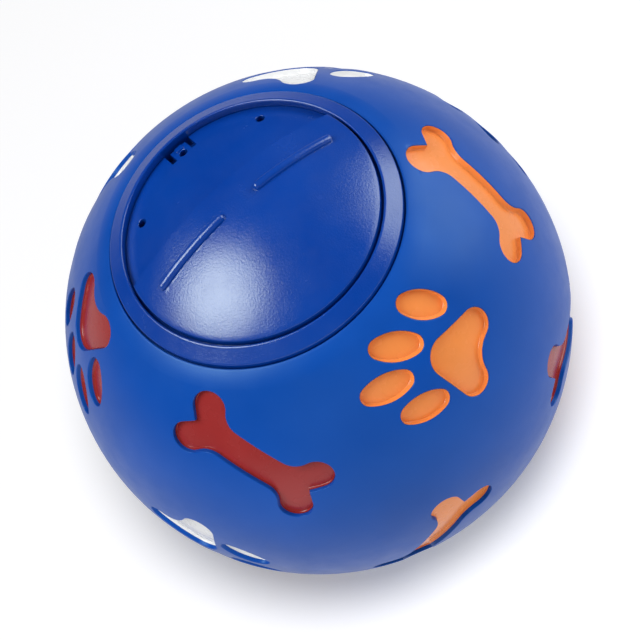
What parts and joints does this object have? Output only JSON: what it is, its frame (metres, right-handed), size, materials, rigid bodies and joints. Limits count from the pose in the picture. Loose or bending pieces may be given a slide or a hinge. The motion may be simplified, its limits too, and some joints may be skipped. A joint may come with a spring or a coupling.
{
  "type": "treat ball",
  "caption": "Hollow vinyl treat ball with recessed, painted bones and paw prints, and a round plastic dispenser whose half-dome shutter turns on a centre pivot to open a half-moon port.",
  "frame": {"origin": "centre of the ball", "axes": "+Z points out of the mouth along the shutter's pivot; +X runs along the finger ridges of the closed shutter; the closed shutter covers the port on the -Y side"},
  "size_m": [0.11, 0.11, 0.1112],
  "materials": {
    "blue_vinyl": "satin soft vinyl with a fine moulded grain",
    "blue_plastic": "satin hard plastic",
    "orange_paint": "satin sprayed paint",
    "red_paint": "satin sprayed paint",
    "white_paint": "satin sprayed paint",
    "zinc_steel": "bright zinc plate"
  },
  "bodies": {
    "ball": {"ball_shell": "blue_vinyl", "paint_orange": "orange_paint", "paint_red": "red_paint", "paint_white": "white_paint", "collar": "blue_plastic", "port_plate": "blue_plastic"},
    "shutter": {"shutter": "blue_plastic", "pivot_washer": "zinc_steel", "pivot_screw": "zinc_steel"}
  },
  "joints": [
    {"name": "shutter_turn", "type": "hinge", "parent": "ball", "child": "shutter", "pos_m": [0, 0, 0.05], "axis": [0, 0, 1], "range_deg": [0, 180]}
  ]
}
